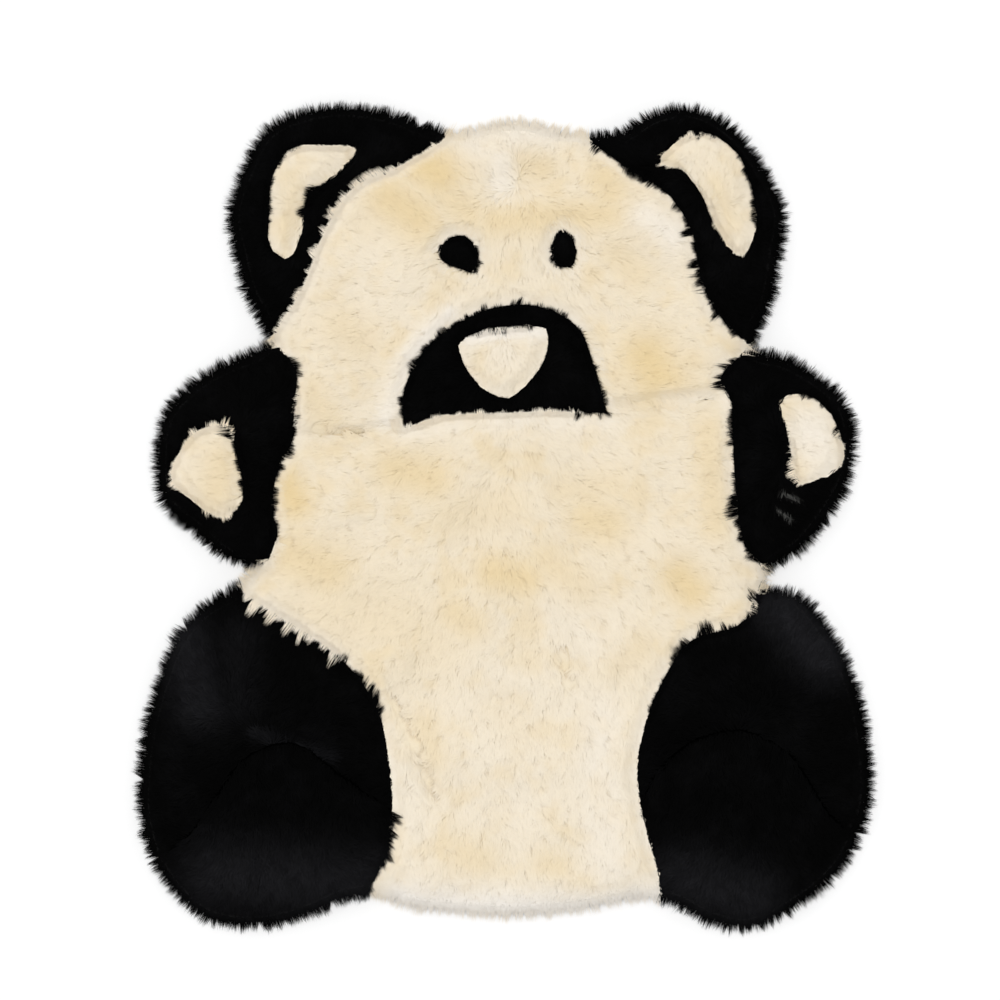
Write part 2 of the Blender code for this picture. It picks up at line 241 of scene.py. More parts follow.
def read_panels():
    """Each panel's packed wool top and outline, and which of its sides are free or meet the other wool."""
    found = {}
    for name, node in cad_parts.items():
        top = wool_top(node)
        loops = outline(top)
        found[name] = SimpleNamespace(name=name, top=top, loops=loops, sides=segments_of(loops))
    for panel in found.values():
        others = [other for other in found.values() if other is not panel]
        owners = np.repeat([other.name for other in others], [len(other.sides) for other in others])
        panel.others = np.concatenate([other.sides for other in others])
        alike = [other.sides for other in others if wool_of(other.name) == wool_of(panel.name)]
        panel.alike = np.concatenate(alike)
        middles = (panel.sides[:, :2] + panel.sides[:, 2:]) / 2
        gap, _, which = nearest_side(middles, panel.others)
        panel.free = gap > FREE_GAP
        meets_other = np.array([wool_of(other) != wool_of(panel.name) for other in owners[which]])
        panel.edged = meets_other & ~panel.free
        flat = flat_copy(panel.top)
        panel.area = sum(face.calc_area() for face in flat.faces)
        flat.free()
    return found


def flat_copy(top):
    """A copy of a panel's wool top with every corner at the height of the hide's upper face."""
    bm = top.copy()
    for vert in bm.verts:
        vert.co.z = (HIDE_CLEARANCE + HIDE_THICKNESS) * MM
    return bm


def between(known):
    """Places with known ones beside them on two sides or more, as over a seam."""
    sides = [np.roll(known, shift, axis) for axis in (0, 1) for shift in (-1, 1)]
    return np.sum(sides, axis=0) >= 2


class WoolHeight:
    """The height of the wool over the whole rug and the floor just outside it, in millimetres."""

    def __init__(self, found):
        low = np.array(cad_box[0].xy) / MM - HEIGHT_MARGIN
        high = np.array(cad_box[1].xy) / MM + HEIGHT_MARGIN
        self.low = low
        xs = np.arange(low[0], high[0], HEIGHT_STEP)
        ys = np.arange(low[1], high[1], HEIGHT_STEP)
        self.shape = (len(ys), len(xs))
        places = np.stack(np.meshgrid(xs, ys), axis=-1).reshape(-1, 2)
        height = np.full(len(places), np.nan)
        for panel in found.values():
            tree = BVHTree.FromBMesh(panel.top)
            for i in np.flatnonzero(inside(places, panel.sides)):
                hit = tree.ray_cast(Vector((places[i, 0] * MM, places[i, 1] * MM, 1)), Vector((0, 0, -1)))[0]
                if hit is not None:
                    height[i] = hit.z / MM
        gaps = np.isnan(height)
        free = np.concatenate([panel.sides[panel.free] for panel in found.values()])
        out = nearest_side(places[gaps], free)[0]
        height[gaps] = RIM_HEIGHT * np.clip(1 - out / RIM_DROOP, 0, 1) ** RIM_CURVE
        sewn = gaps.copy()
        sewn[gaps] = out > HEIGHT_STEP * 2
        self.values = height.reshape(self.shape)
        self.fill_seams(sewn.reshape(self.shape) & between(~gaps.reshape(self.shape)))
        self.spring_over_seams()

    def spring_over_seams(self):
        """Raises the wool in narrow grooves, which it closes over, to a little under the wool around."""
        around = self.values
        for axis in (0, 1):
            shifts = range(-SPRING_STEPS, SPRING_STEPS + 1)
            around = np.mean([np.roll(around, shift, axis) for shift in shifts], axis=0)
        self.values = np.maximum(self.values, np.where(self.values > LOWEST_WOOL, around - SPRING_SINK, 0))

    def fill_seams(self, holes):
        """Bridges the holes over the seams at the height of the wool around each."""
        for y, x in zip(*np.nonzero(holes)):
            around = self.values[y - 1 : y + 2, x - 1 : x + 2]
            self.values[y, x] = around[around > LOWEST_WOOL].mean()

    def __call__(self, points):
        """The height at each point, blended from the four places round it."""
        at = (points - self.low) / HEIGHT_STEP
        column = np.clip(at[:, 0].astype(int), 0, self.shape[1] - 2)
        row = np.clip(at[:, 1].astype(int), 0, self.shape[0] - 2)
        across, up = at[:, 0] - column, at[:, 1] - row
        near = self.values[row, column] * (1 - across) + self.values[row, column + 1] * across
        far = self.values[row + 1, column] * (1 - across) + self.values[row + 1, column + 1] * across
        return near * (1 - up) + far * up


def add_relief(nodes, links, shader, height, strength, depth):
    """Raises the fine relief of a surface, by up to a depth in millimetres."""
    bump = nodes.new("ShaderNodeBump")
    bump.inputs["Strength"].default_value = strength
    bump.inputs["Distance"].default_value = depth * MM
    links.new(height, bump.inputs["Height"])
    links.new(bump.outputs["Normal"], shader.inputs["Normal"])


def suede_material():
    material, nodes, links, shader = new_material("suede", SUEDE.roughness)
    shader.inputs["Sheen Weight"].default_value = SUEDE.sheen
    colour = nodes.new("ShaderNodeMix")
    colour.data_type = "RGBA"
    colour.inputs["A"].default_value = (*SUEDE.dark, 1)
    colour.inputs["B"].default_value = (*SUEDE.light, 1)
    clouds = add_noise(nodes, links, SUEDE.cloud_scale, SUEDE.cloud_detail)
    links.new(clouds, colour.inputs["Factor"])
    links.new(colour.outputs["Result"], shader.inputs["Base Color"])
    nap = add_noise(nodes, links, SUEDE.nap_scale)
    add_relief(nodes, links, shader, nap, SUEDE.nap_strength, SUEDE.nap_depth)
    return material


def add_object(name, bm_or_mesh, material, smooth=True):
    mesh = bm_or_mesh
    if isinstance(bm_or_mesh, bmesh.types.BMesh):
        mesh = bpy.data.meshes.new(name)
        bm_or_mesh.to_mesh(mesh)
        bm_or_mesh.free()
    mesh.materials.append(material)
    if smooth:
        mesh.shade_smooth()
    made = bpy.data.objects.new(name, mesh)
    scene.collection.objects.link(made)
    return made


def make_hide(panel, material):
    bm = flat_copy(panel.top)
    for item in bmesh.ops.extrude_face_region(bm, geom=bm.faces[:])["geom"]:
        if isinstance(item, bmesh.types.BMVert):
            item.co.z = HIDE_CLEARANCE * MM
    bmesh.ops.recalc_face_normals(bm, faces=bm.faces[:])
    made = add_object(panel.name + "_hide", bm, material, smooth=False)
    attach(made, "root")
    return made


panels = read_panels()
wool_height = WoolHeight(panels)
suede = suede_material()
hides = {name: make_hide(panel, suede) for name, panel in panels.items()}


# ---- Underwool ---------------------------------------------------------------------------------------
# The dense crimped wool that grows out of each hide. The longer wool lies over it, and it shows between
# the locks and along the partings.
UNDERWOOL_DEPTH = 0.7
UNDERWOOL_LUMPS = 0.4
UNDERWOOL_LUMP_LENGTH = 9.0
UNDERWOOL_LEAST = 5.3
UNDERWOOL_CUTS = 2
UNDERWOOL_RISE = 0.25
CRIMP_SCALE = 420.0
CRIMP_STRENGTH = 0.4
CRIMP_DEPTH = 2.0
BLOTCH_SCALE = 24.0
BLOTCH_RANGE = (0.42, 0.70)
NOISE_DETAIL = 3.0
MIDDLE_SHADE = 0.5
WOOLS = {
    # Cream wool: the patch colour is a warmer tone of the wool, and the pale colour is partly paler wool,
    # partly painted light.
    "cream": SimpleNamespace(
        deep=(0.80, 0.70, 0.522), tip=(0.83, 0.739, 0.595), patch=(0.765, 0.605, 0.345),
        pale=(0.87, 0.825, 0.757), roughness=0.8, specular=0.1, sheen=0.15, unevenness=0.03, blotches=0.45,
    ),
    # Black wool: the patch colour, and the blotches that mix towards it, are painted sheen where the wool
    # catches the light.
    "black": SimpleNamespace(
        deep=(0.0006, 0.0006, 0.0006), tip=(0.0011, 0.0011, 0.0011), patch=(0.011, 0.011, 0.0125),
        pale=(0.09, 0.09, 0.085), roughness=0.6, specular=0.012, sheen=0.0, unevenness=0.7, blotches=0.08,
    ),
}


def wool_colour_group():
    """Wool's colour, from root to tip, with blotches, patches, paler places and uneven strands: the blotches
    and patches are a warmer tone on cream wool and painted sheen on black wool, and the paler places are
    partly painted light.
    """
    group = bpy.data.node_groups.new("wool_colour", "ShaderNodeTree")
    sockets = (
        # name, type, in or out
        ("Deep Colour", "NodeSocketColor", "INPUT"),
        ("Tip Colour", "NodeSocketColor", "INPUT"),
        ("Patch Colour", "NodeSocketColor", "INPUT"),
        ("Pale Colour", "NodeSocketColor", "INPUT"),
        ("Blotches", "NodeSocketFloat", "INPUT"),
        ("Unevenness", "NodeSocketFloat", "INPUT"),
        ("Colour", "NodeSocketColor", "OUTPUT"),
    )
    for name, kind, way in sockets:
        group.interface.new_socket(name, socket_type=kind, in_out=way)
    nodes, links = group.nodes, group.links
    given = nodes.new("NodeGroupInput").outputs
    out = nodes.new("NodeGroupOutput")

    def attribute(name):
        node = nodes.new("ShaderNodeAttribute")
        node.attribute_name = name
        return node.outputs["Fac"]

    def mix(factor, a, b):
        node = nodes.new("ShaderNodeMix")
        node.data_type = "RGBA"
        links.new(factor, node.inputs["Factor"])
        links.new(a, node.inputs["A"])
        links.new(b, node.inputs["B"])
        return node.outputs["Result"]

    def math_node(operation, *values):
        node = nodes.new("ShaderNodeMath")
        node.operation = operation
        for socket, value in zip(node.inputs, values):
            if isinstance(value, float):
                socket.default_value = value
            else:
                links.new(value, socket)
        return node.outputs["Value"]

    blotch = nodes.new("ShaderNodeMapRange")
    blotch.interpolation_type = "SMOOTHSTEP"
    blotch.inputs["From Min"].default_value, blotch.inputs["From Max"].default_value = BLOTCH_RANGE
    links.new(add_noise(nodes, links, BLOTCH_SCALE, NOISE_DETAIL), blotch.inputs["Value"])
    # Blotches and patches: a warmer tone on cream wool, painted sheen on black wool.
    warmth_and_sheen = math_node("MULTIPLY", blotch.outputs["Result"], given["Blotches"])
    warmth_and_sheen = math_node("MAXIMUM", warmth_and_sheen, attribute("patch"))
    colour = mix(attribute("along"), given["Deep Colour"], given["Tip Colour"])
    colour = mix(warmth_and_sheen, colour, given["Patch Colour"])
    colour = mix(attribute("pale"), colour, given["Pale Colour"])
    tone = math_node("SUBTRACT", attribute("strand"), MIDDLE_SHADE)
    tone = math_node("MULTIPLY", tone, given["Unevenness"])
    tone = math_node("ADD", tone, 1.0)
    shade = nodes.new("ShaderNodeVectorMath")
    shade.operation = "SCALE"
    links.new(colour, shade.inputs[0])
    links.new(tone, shade.inputs["Scale"])
    links.new(shade.outputs["Vector"], out.inputs["Colour"])
    return group


wool_colour = wool_colour_group()


def wool_material(name, wool, crimped=False):
    kind = WOOLS[wool]
    material, nodes, links, shader = new_material(name, kind.roughness)
    shader.inputs["Specular IOR Level"].default_value = kind.specular
    shader.inputs["Sheen Weight"].default_value = kind.sheen
    colour = nodes.new("ShaderNodeGroup")
    colour.node_tree = wool_colour
    for part in ("deep", "tip", "patch", "pale"):
        colour.inputs[part.title() + " Colour"].default_value = (*vars(kind)[part], 1)
    colour.inputs["Blotches"].default_value = kind.blotches
    colour.inputs["Unevenness"].default_value = kind.unevenness
    links.new(colour.outputs["Colour"], shader.inputs["Base Color"])
    if crimped:
        crimp = add_noise(nodes, links, CRIMP_SCALE, NOISE_DETAIL)
        add_relief(nodes, links, shader, crimp, CRIMP_STRENGTH, CRIMP_DEPTH)
    return material


def write_values(mesh, name, values):
    layer = mesh.attributes.new(name, "FLOAT", "POINT")
    layer.data.foreach_set("value", np.ascontiguousarray(values, np.float32))


def make_underwool(panel, material):
    bm = panel.top.copy()
    bmesh.ops.subdivide_edges(bm, edges=bm.edges[:], cuts=UNDERWOOL_CUTS, use_grid_fill=True)
    for vert in bm.verts:
        lump = noise.noise(vert.co / (UNDERWOOL_LUMP_LENGTH * MM))
        depth = UNDERWOOL_DEPTH - UNDERWOOL_LUMPS * lump
        vert.co.z = max(vert.co.z - depth * MM, UNDERWOOL_LEAST * MM)
    rim = [edge for edge in bm.edges if edge.is_boundary]
    walls = bmesh.ops.extrude_edge_only(bm, edges=rim)["geom"]
    for item in walls:
        if isinstance(item, bmesh.types.BMVert):
            item.co.z = (HIDE_THICKNESS + HIDE_CLEARANCE) * MM
    foot = [edge for edge in bm.edges if edge.is_boundary]
    bmesh.ops.triangle_fill(bm, edges=foot, use_beauty=True)
    bmesh.ops.recalc_face_normals(bm, faces=bm.faces[:])
    made = add_object(panel.name + "_underwool", bm, material)
    count = len(made.data.vertices)
    write_values(made.data, "along", np.full(count, UNDERWOOL_RISE))
    write_values(made.data, "strand", np.full(count, MIDDLE_SHADE))
    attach(made, "root")
    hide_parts(panel.name)
    return made


underwool_materials = {
    "cream": wool_material("cream_underwool", "cream", crimped=True),
    "black": wool_material("black_underwool", "black", crimped=True),
}
underwool = {
    name: make_underwool(panel, underwool_materials[wool_of(name)]) for name, panel in panels.items()
}


# ---- Face and body -----------------------------------------------------------------------------------
# Two large panels of cream fleece, joined across the neck. The long wool stands up soft and fluffy, in
# small loose locks, and is combed outwards over the seams and the rim so that they hardly show.
# A strand's root, crest and end are heights over the surface of the panel's wool as a whole.
LONG_WOOL = SimpleNamespace(
    pitch=1.42, length=17.0, thickness=0.82, rings=3, lock_pitch=8.0, lock_turn=20.0, stray=16.0, gather=0.3,
    wander=30.0, rim_reach=26.0, past_rim=(2.0, 8.0), bend=0.08, root=-0.6, knee=0.4, crest=0.45,
    crest_uneven=0.12, crest_stray=0.14, end=0.2, end_uneven=0.2, end_lift=0.25,
)
RIM_WOOL = SimpleNamespace(
    pitch=1.15, length=26.0, thickness=0.30, rings=4, lock_pitch=5.5, lock_turn=7.0, stray=5.0, gather=0.55,
    wander=14.0, rim_reach=40.0, past_rim=(6.0, 20.0), bend=0.03, root=-3.0, knee=0.4, crest=1.2,
    crest_uneven=0.8, crest_stray=0.3, end=0.6, end_uneven=0.8, end_lift=0.5,
)
SEAM_WOOL = SimpleNamespace(
    pitch=1.05, length=27.0, thickness=0.29, rings=3, lock_pitch=7.0, lock_turn=8.0, stray=4.0, gather=0.6,
    past_rim=(3.0, 12.0), bend=0.04, root=-0.4, knee=0.3, crest=2.3, crest_uneven=0.3,
    crest_stray=0.3, end=1.8, end_uneven=0.3, end_lift=0.5,
)
SEAM_BAND = (1.5, 9.0)
SEAM_NEAR = 14.0
SEAM_ACROSS = 0.7
SEAM_FADE = 1.5
SEAM_LOCK_LEAST = 0.2
SEAM_LOCK_CURVE = 1.5
SEAM_UNEVEN = (0.7, 1.0)
PAST_SEAM = 0.8
RIM_BAND = 9.0
RIM_LOCK_SHARE = 0.35
ROOT_UNEVEN = 0.6
LOCK_UNEVEN = 1.2
LOCK_LENGTHS = (0.75, 1.2)
STRAND_LENGTHS = (0.75, 1.15)
GATHER_UNEVEN = (0.5, 1.2)
HOLD_ROUNDS = 3
HELD_BACK = 1.15
SHORTEST = 0.12
STRAND_WIDTHS = (0.7, 1.3)
STRAND_TAPER = ((0, 0.4, 1), (0.8, 1.0, 0.0))  # how far up a strand, and how broad it is there
STRAND_ROLL = 12.0
SOFTNESS = 0.93
LOCK_DOME = 0.20
SLOPE_STEP = 4.0
STEEPEST = 0.38
# A pale band along the edges and rim of cream panels: partly paler wool, partly painted light where the wool
# stands up or curves down.
PALE_EDGE = 15.0
PALE_EDGE_STRENGTH = 0.45
CREASE_REACH = 9.0
CREASE_SINK = 2.2
# Painted shade along creases in cream wool, painted sheen along creases in black wool.
CREASE_SHADE_AND_SHEEN = 0.6
LOWEST_STRAND = 0.9
LOWEST_EDGE = 0.05
WANDER_LENGTH = 38.0
WANDER_LEVEL = 100
COMB_PULL = 1.6
COMB_NEAR = 0.05
COMB_FALL = 1.5
CELL_SHAPE = 4  # how many times as tall as wide a strand's cell is
CELL_SIDE = 0.2
CELL_END = 0.1
FACE_COMBING = (
    # x, y, heading, reach
    (-20, 410, 110, 30),
    (40, 415, 70, 30),
    (-60, 385, 135, 30),
    (70, 385, 45, 30),
    (0, 372, 160, 18),
    (28, 362, -20, 18),
    (-100, 340, 150, 40),
    (120, 330, 20, 40),
    (-160, 290, 165, 40),
    (170, 270, 5, 40),
    (10, 320, 262, 30),
    (0, 270, 270, 30),
    (-100, 250, 205, 40),
    (100, 240, -25, 40),
    (-190, 200, 185, 40),
    (190, 180, -8, 40),
    (-150, 130, 200, 40),
    (160, 150, -15, 40),
    (172, 128, -75, 26),
    (-52, 300, 262, 20),
    (62, 308, 278, 20),
    (-60, 240, 262, 20),
    (60, 245, 278, 20),
    (-200, 110, 200, 30),
    (215, 150, -10, 30),
)
FACE_PATCHES = (
    # x0, y0, x1, y1, reach, strength
    (-87, 382, -71, 371, 32, 1),
    (-125, 344, -93, 322, 30, 0.85),
    (-38, 328, -71, 355, 24, 0.6),
    (21, 393, 37, 382, 24, 0.7),
    (105, 366, 113, 349, 26, 0.7),
    (-11, 322, 124, 328, 22, 0.7),
    (119, 284, 140, 263, 24, 0.45),
    (141, 331, 151, 320, 28, 0.7),
    (-174, 208, -152, 192, 28, 0.45),
    (151, 173, 169, 143, 34, 1),
    (113, 154, 200, 168, 18, 0.5),
    (-210, 138, -190, 106, 20, 0.45),
    (-131, 355, -152, 317, 24, 0.3),
)
# Paler places on the face: partly paler wool, partly painted light.
FACE_PALE = (
    (-30, 414, 50, 419, 26, 0.55),
    (-3, 387, -3, 355, 16, 0.5),
    (151, 325, 180, 306, 22, 0.6),
    (-128, 106, -101, 175, 13, 0.55),
    (-101, 175, -62, 221, 13, 0.7),
    (-168, 279, -125, 236, 50, 0.1),
    (173, 129, 221, 125, 12, 0.3),
)
FACE_CREASES = (
    # x0, y0, x1, y1
    (-200, 97, -125, 87),
)
BODY_COMBING = (
    (-20, 70, 235, 30),
    (40, 65, -50, 30),
    (-200, 50, 185, 60),
    (-220, -60, 200, 50),
    (-100, 20, 190, 50),
    (-60, -70, 225, 60),
    (90, 10, -15, 50),
    (220, 60, 0, 50),
    (220, -60, -20, 50),
    (100, -80, -40, 60),
    (20, -20, 290, 40),
    (-150, -120, 225, 50),
    (160, -110, -50, 40),
    (-100, -200, 240, 50),
    (110, -200, -62, 50),
    (0, -150, 262, 70),
    (-90, -300, 262, 60),
    (110, -300, -82, 60),
    (0, -300, 275, 80),
    (0, -400, 270, 60),
)
BODY_PATCHES = (
    (-118, 53, -79, 43, 28, 0.75),
    (-240, 40, -226, 17, 24, 1),
    (88, -1, 108, -6, 28, 0.7),
    (-12, -58, 22, -66, 26, 0.85),
    (43, -46, 75, -79, 28, 0.55),
    (186, -64, 200, -79, 24, 0.9),
    (-54, -102, -38, -114, 24, 0.65),
    (-228, -40, -190, -57, 32, 0.7),
    (60, 30, 120, 34, 22, 0.4),
    (-60, 1, -1, 14, 30, 0.35),
    (-86, -221, -79, -256, 20, 0.5),
    (-6, -203, 16, -230, 26, 0.4),
    (-44, -360, -27, -366, 24, 0.55),
    (44, -372, 58, -376, 20, 0.5),
    (216, 95, 224, -8, 20, 0.55),
    (119, -154, 143, -138, 20, 0.45),
    (-190, -89, -71, -133, 50, 0.3),
)
BODY_PALE = (
    (-108, 94, -50, 106, 13, 0.4),
    (-50, 106, 108, 108, 14, 0.4),
    (-1, -190, 10, -301, 70, 0.2),
    (59, -100, 102, -133, 30, 0.25),
    (97, -219, 113, -382, 34, 0.4),
    (-106, -263, -106, -371, 24, 0.25),
    # Along the hem, where the wool drops towards the floor, the paleness is painted light.
    (-114, -414, -60, -423, 26, 1),
    (-60, -423, 102, -425, 26, 1),
    (102, -425, 162, -416, 26, 1),
)
BODY_CREASES = (
    (-120, -187, -98, -235),
    (-98, -235, -74, -295),
    (59, -138, 68, -176),
    (-251, -20, -224, -23),
)
FACE_OVERLAPS = (
    # x0, y0, x1, y1, heading, how far over
    (-68, 409, -114, 387, 130, 11),
    (-114, 387, -168, 349, 135, 13),
    (-168, 349, -199, 301, 142, 15),
    (-199, 301, -219, 252, 155, 13),
    (-219, 252, -241, 198, 165, 9),
    (-231, 127, -231, 103, 180, 9),
)
BODY_OVERLAPS = (
    (-109, 98, -60, 111, 105, 9),
    (-60, 111, 16, 114, 95, 9),
    (16, 114, 72, 118, 90, 11),
    (-284, -79, -233, -113, 232, 22),
    (-233, -113, -185, -149, 240, 22),
    (281, -89, 259, -96, -38, 11),
)
BODY_SPLIT = -100.0


def unit(vectors):
    return vectors / np.maximum(np.linalg.norm(vectors, axis=-1, keepdims=True), 1e-9)


def turned(way, angle):
    cos, sin = np.cos(angle), np.sin(angle)
    return np.stack([way[:, 0] * cos - way[:, 1] * sin, way[:, 0] * sin + way[:, 1] * cos], axis=1)


def drawn(way, pull, share):
    """Directions turned towards a pull, by a share of it."""
    return unit(way * (1 - share)[:, None] + pull * (COMB_PULL * share)[:, None])


def wool_slope(points):
    """The upward direction of the wool's surface as a whole at each point."""
    right = wool_height(points + (SLOPE_STEP, 0)) - wool_height(points - (SLOPE_STEP, 0))
    up = wool_height(points + (0, SLOPE_STEP)) - wool_height(points - (0, SLOPE_STEP))
    rise = np.stack([right, up], axis=1) / (2 * SLOPE_STEP)
    steep = np.linalg.norm(rise, axis=1, keepdims=True)
    rise *= np.minimum(1, STEEPEST / np.maximum(steep, 1e-9))
    return unit(np.hstack([-rise, np.ones((len(points), 1))]))


def scatter(panel, pitch, rng):
    """Points in uneven rows over a panel."""
    low = panel.sides[:, :2].min(axis=0)
    high = panel.sides[:, :2].max(axis=0)
    xs = np.arange(low[0], high[0] + pitch, pitch)
    ys = np.arange(low[1], high[1] + pitch, pitch)
    points = np.stack(np.meshgrid(xs, ys), axis=-1).reshape(-1, 2)
    points = points + rng.uniform(-ROOT_UNEVEN, ROOT_UNEVEN, points.shape) * pitch
    return points[inside(points, panel.sides)]


def combed(points, combing):
    """The way the wool lies at each point, from the nearest rows of a combing table."""
    way = np.zeros_like(points)
    for x, y, heading, reach in combing:
        square = ((points - (x, y)) ** 2).sum(axis=1) / reach**2
        weight = 1 / (COMB_NEAR + square) ** COMB_FALL
        way += weight[:, None] * (math.cos(math.radians(heading)), math.sin(math.radians(heading)))
    return unit(way)


def wander(points):
    """A value from about -1 to 1 that changes slowly from place to place."""
    return np.array([noise.noise(Vector((x, y, WANDER_LEVEL)) / WANDER_LENGTH) for x, y in points])


def closeness(points, sides, reach):
    """How near each point is to some sides, from 1 at them to 0 at that reach, and the way there."""
    if not len(sides):
        return np.zeros(len(points)), np.zeros_like(points)
    away, step, _ = nearest_side(points, np.asarray(sides, float))
    return np.clip(1 - away / reach, 0, 1), unit(step)


def patches(points, table):
    """How strongly a table's patches show at each point."""
    mask = np.zeros(len(points))
    for *segment, reach, strength in table:
        away = nearest_side(points, [segment])[0]
        mask = np.maximum(mask, strength * np.exp(-((away / reach) ** 2)))
    return mask


def gather_locks(panel, roots, style, rng):
    """The lock that each strand is in: where it stands, and its turn, length, lift, reach and shade."""
    centres = scatter(panel, style.lock_pitch, rng)
    tree = kdtree.KDTree(len(centres))
    for i, (x, y) in enumerate(centres):
        tree.insert((x, y, 0), i)
    tree.balance()
    blurred = roots + rng.normal(0, LOCK_UNEVEN, roots.shape)
    which = np.array([tree.find((x, y, 0))[1] for x, y in blurred])
    count = len(centres)
    return SimpleNamespace(
        middle=centres[which],
        turn=np.radians(rng.normal(0, style.lock_turn, count))[which],
        length=rng.uniform(*LOCK_LENGTHS, count)[which],
        lift=rng.uniform(-1, 1, count)[which],
        reach=rng.uniform(0, 1, count)[which],
        shade=rng.uniform(0, 1, count)[which],
    )


def hold_back(panel, roots, tips, past_seam, past_rim):
    """Draws tips back towards their roots until they pass their panel's edge by no more than allowed."""
    for _ in range(HOLD_ROUNDS):
        beyond, _, side = nearest_side(tips, panel.sides)
        outside = ~inside(tips, panel.sides)
        on_another = np.zeros(len(tips), bool)
        on_another[outside] = inside(tips[outside], panel.others)
        over_rim = panel.free[side] & ~on_another
        on_alike = np.zeros(len(tips), bool)
        on_alike[on_another] = inside(tips[on_another], panel.alike)
        past_like = np.where(on_alike, panel.past_like[side], 0)
        allowed = np.where(over_rim, past_rim, np.maximum(past_seam, past_like))
        excess = np.where(outside, np.maximum(beyond - allowed, 0), 0)
        reach = np.linalg.norm(tips - roots, axis=1)
        kept = np.maximum(1 - HELD_BACK * excess / np.maximum(reach, 1e-6), SHORTEST)
        tips = roots + (tips - roots) * kept[:, None]
    return tips


def fleece_way(panel, look, style, roots):
    """The way that the fleece is combed at each root, outwards at the rim and away from each crease."""
    way = turned(combed(roots, look.combing), np.radians(style.wander) * wander(roots))
    near_rim, out = closeness(roots, panel.sides[panel.free], style.rim_reach)
    way = drawn(way, out, near_rim)
    near_crease, out = closeness(roots, look.creases, CREASE_REACH)
    return drawn(way, -out, near_crease)


def lay_strands(panel, look, style, rng, roots, way, past_seam):
    """Each strand's points from root to tip, with its shade, patch, paleness and side of its lock."""
    count = len(roots)
    lock = gather_locks(panel, roots, style, rng)
    near_crease = closeness(roots, look.creases, CREASE_REACH)[0]
    way = turned(way, lock.turn)
    own = turned(way, np.radians(rng.normal(0, style.stray, count)))

    length = style.length * lock.length * rng.uniform(*STRAND_LENGTHS, count)
    gather = style.gather * rng.uniform(*GATHER_UNEVEN, count)[:, None]
    tips = roots + own * length[:, None]
    tips += (lock.middle + way * (style.length * lock.length)[:, None] - tips) * gather
    share = SEAM_LOCK_LEAST + (1 - SEAM_LOCK_LEAST) * lock.reach**SEAM_LOCK_CURVE
    past_seam = past_seam * share * rng.uniform(*SEAM_UNEVEN, count)
    least, most = style.past_rim
    share = RIM_LOCK_SHARE * lock.reach + (1 - RIM_LOCK_SHARE) * rng.uniform(0, 1, count)
    past_rim = least + (most - least) * share
    tips = hold_back(panel, roots, tips, past_seam, past_rim)

    steps = np.linspace(0, 1, style.rings)
    run = tips - roots
    across = np.stack([-run[:, 1], run[:, 0]], axis=1) * rng.normal(0, style.bend, count)[:, None]
    bow = 4 * steps * (1 - steps)
    places = roots[:, None] + run[:, None] * steps[None, :, None] + across[:, None] * bow[None, :, None]
    crest = style.crest + style.crest_uneven * lock.lift + rng.normal(0, style.crest_stray, count)
    end = style.end + style.end_uneven * rng.uniform(-1, 1, count) + style.end_lift * lock.lift
    sink = CREASE_SINK * near_crease
    lift = np.stack([np.interp(steps, (0, style.knee, 1), (style.root, a, b)) for a, b in zip(crest, end)])
    height = wool_height(places.reshape(-1, 2)).reshape(count, -1) + lift - sink[:, None]
    height = np.maximum(height, LOWEST_STRAND)

    middles = places[:, len(steps) // 2]
    side = np.cross(unit(run), (lock.middle - roots) / style.lock_pitch)
    # The pale edge band and the paler places are partly painted light.
    near_edge = closeness(middles, panel.sides[panel.edged | panel.free], PALE_EDGE)[0]
    pale = np.maximum(patches(middles, look.pale), PALE_EDGE_STRENGTH * near_edge * look.pale_edges)
    # Crease marks are painted shade on cream wool and painted sheen on black wool, as are the other patches
    # on black wool.
    patch = np.maximum(patches(middles, look.patches), CREASE_SHADE_AND_SHEEN * near_crease)
    return SimpleNamespace(
        points=np.concatenate([places, height[:, :, None]], axis=2),
        shade=0.5 * lock.shade + 0.5 * rng.uniform(0, 1, count),
        patch=patch * (1 - pale),
        pale=pale,
        side=np.clip(side, -1, 1),
    )


def tint_underwool(piece, look):
    """Gives the underwool the same patches and pale places as the wool over it."""
    count = len(piece.data.vertices)
    places = np.empty(count * 3, np.float32)
    piece.data.vertices.foreach_get("co", places)
    places = places.reshape(count, 3)[:, :2].astype(float) / MM
    pale = patches(places, look.pale)
    write_values(piece.data, "patch", patches(places, look.patches) * (1 - pale))
    write_values(piece.data, "pale", pale)


def some_of(strands, chosen):
    return SimpleNamespace(**{key: values[chosen] for key, values in vars(strands).items()})


def bake_map(mesh, middles, rising, per):
    """Lays each strand in its own cell of the piece's picture, next to those that grow beside it."""
    count = len(middles)
    columns = math.ceil(math.sqrt(CELL_SHAPE * count))
    rows = math.ceil(count / columns)
    band = np.ptp(middles[:, 1]) / rows + 1e-6
    order = np.lexsort((middles[:, 0], np.floor(middles[:, 1] / band)))
    rank = np.empty(count, int)
    rank[order] = np.arange(count)
    side = np.tile([CELL_SIDE, 1 - CELL_SIDE], per // 2 + 1)[:per]
    side[-1] = 0.5
    u = ((rank % columns)[:, None] + side) / columns
    v = ((rank // columns)[:, None] + CELL_END + (1 - 2 * CELL_END) * rising) / rows
    at = np.stack([u, v], axis=-1).reshape(-1, 2)
    corners = np.empty(len(mesh.loops), np.int32)
    mesh.loops.foreach_get("vertex_index", corners)
    layer = mesh.uv_layers.new(name="OFBake")
    layer.uv.foreach_set("vector", at[corners].astype(np.float32).ravel())


def at_corners(values):
    """One row for each corner of the strands, from one for each ring of corners."""
    return np.concatenate([np.repeat(values[:, :-1], 2, axis=1), values[:, -1:]], axis=1).reshape(-1, 3)


